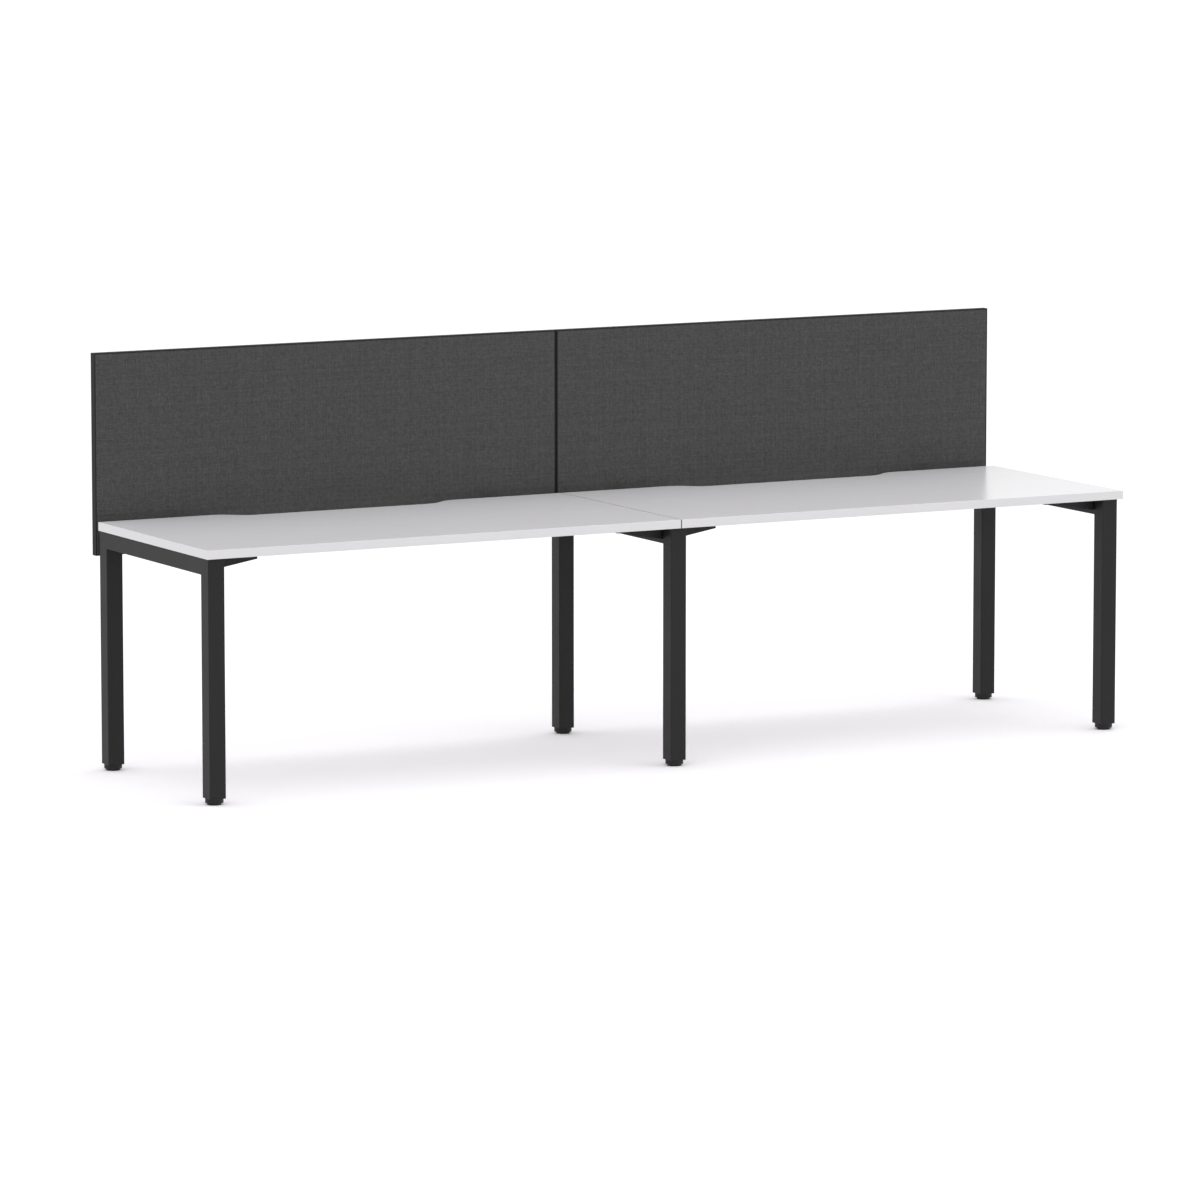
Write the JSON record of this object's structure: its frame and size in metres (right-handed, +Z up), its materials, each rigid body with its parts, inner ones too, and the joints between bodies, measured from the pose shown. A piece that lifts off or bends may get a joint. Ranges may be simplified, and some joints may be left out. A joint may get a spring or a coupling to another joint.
{
  "type": "two-person workstation desk",
  "caption": "Straight bench desk for sitters side by side: white worktops with cable scallops on black square-tube frames, with fabric screens behind and levelling feet below.",
  "frame": {"origin": "on the floor, in the middle of the overall length and of the overall depth", "axes": "+X along the desk, to the sitter's right; +Y from the sitter towards the screens; +Z up"},
  "size_m": [3, 0.797, 1.202],
  "materials": {
    "worktop": "white melamine-faced board, satin",
    "edging": "white plastic edge strip, satin",
    "frame": "black powder coat, fine satin texture",
    "foot": "moulded black plastic",
    "stud": "zinc-plated thread",
    "insert": "moulded black plastic",
    "screen_fabric": "dark grey woven polyester",
    "screen_core": "raw particle board",
    "screen_trim": "black plastic edge trim, satin",
    "fastener": "zinc-plated steel"
  },
  "bodies": {
    "desk": {"beam_end_plates": "frame", "frame_bolts": "fastener", "left_beam": "frame", "left_front_leg": "frame", "left_front_wing": "frame", "left_rail": "frame", "left_rear_leg": "frame", "left_rear_wing": "frame", "left_screen_bottom_trim": "screen_trim", "left_screen_bracket": "frame", "left_screen_core": "screen_core", "left_screen_front_fabric": "screen_fabric", "left_screen_left_trim": "screen_trim", "left_screen_rear_fabric": "screen_fabric", "left_screen_right_trim": "screen_trim", "left_screen_top_trim": "screen_trim", "left_top": "worktop", "left_top_edging": "edging", "leg_inserts": "insert", "middle_front_left_wing": "frame", "middle_front_leg": "frame", "middle_front_right_wing": "frame", "middle_rail": "frame", "middle_rear_left_wing": "frame", "middle_rear_leg": "frame", "middle_rear_right_wing": "frame", "middle_screen_bracket": "frame", "right_beam": "frame", "right_front_leg": "frame", "right_front_wing": "frame", "right_rail": "frame", "right_rear_leg": "frame", "right_rear_wing": "frame", "right_screen_bottom_trim": "screen_trim", "right_screen_bracket": "frame", "right_screen_core": "screen_core", "right_screen_front_fabric": "screen_fabric", "right_screen_left_trim": "screen_trim", "right_screen_rear_fabric": "screen_fabric", "right_screen_right_trim": "screen_trim", "right_screen_top_trim": "screen_trim", "right_top": "worktop", "right_top_edging": "edging", "screen_angles": "frame", "wood_screws": "fastener"},
    "left_front_leveller": {"left_front_foot": "foot", "left_front_foot_stud": "stud"},
    "left_rear_leveller": {"left_rear_foot": "foot", "left_rear_foot_stud": "stud"},
    "middle_front_leveller": {"middle_front_foot": "foot", "middle_front_foot_stud": "stud"},
    "middle_rear_leveller": {"middle_rear_foot": "foot", "middle_rear_foot_stud": "stud"},
    "right_front_leveller": {"right_front_foot": "foot", "right_front_foot_stud": "stud"},
    "right_rear_leveller": {"right_rear_foot": "foot", "right_rear_foot_stud": "stud"}
  },
  "joints": [
    {"name": "left_front_levelling", "type": "slide", "parent": "desk", "child": "left_front_leveller", "axis": [0, 0, -1], "range_m": [0, 0.02]},
    {"name": "left_rear_levelling", "type": "slide", "parent": "desk", "child": "left_rear_leveller", "axis": [0, 0, -1], "range_m": [0, 0.02]},
    {"name": "middle_front_levelling", "type": "slide", "parent": "desk", "child": "middle_front_leveller", "axis": [0, 0, -1], "range_m": [0, 0.02]},
    {"name": "middle_rear_levelling", "type": "slide", "parent": "desk", "child": "middle_rear_leveller", "axis": [0, 0, -1], "range_m": [0, 0.02]},
    {"name": "right_front_levelling", "type": "slide", "parent": "desk", "child": "right_front_leveller", "axis": [0, 0, -1], "range_m": [0, 0.02]},
    {"name": "right_rear_levelling", "type": "slide", "parent": "desk", "child": "right_rear_leveller", "axis": [0, 0, -1], "range_m": [0, 0.02]}
  ]
}
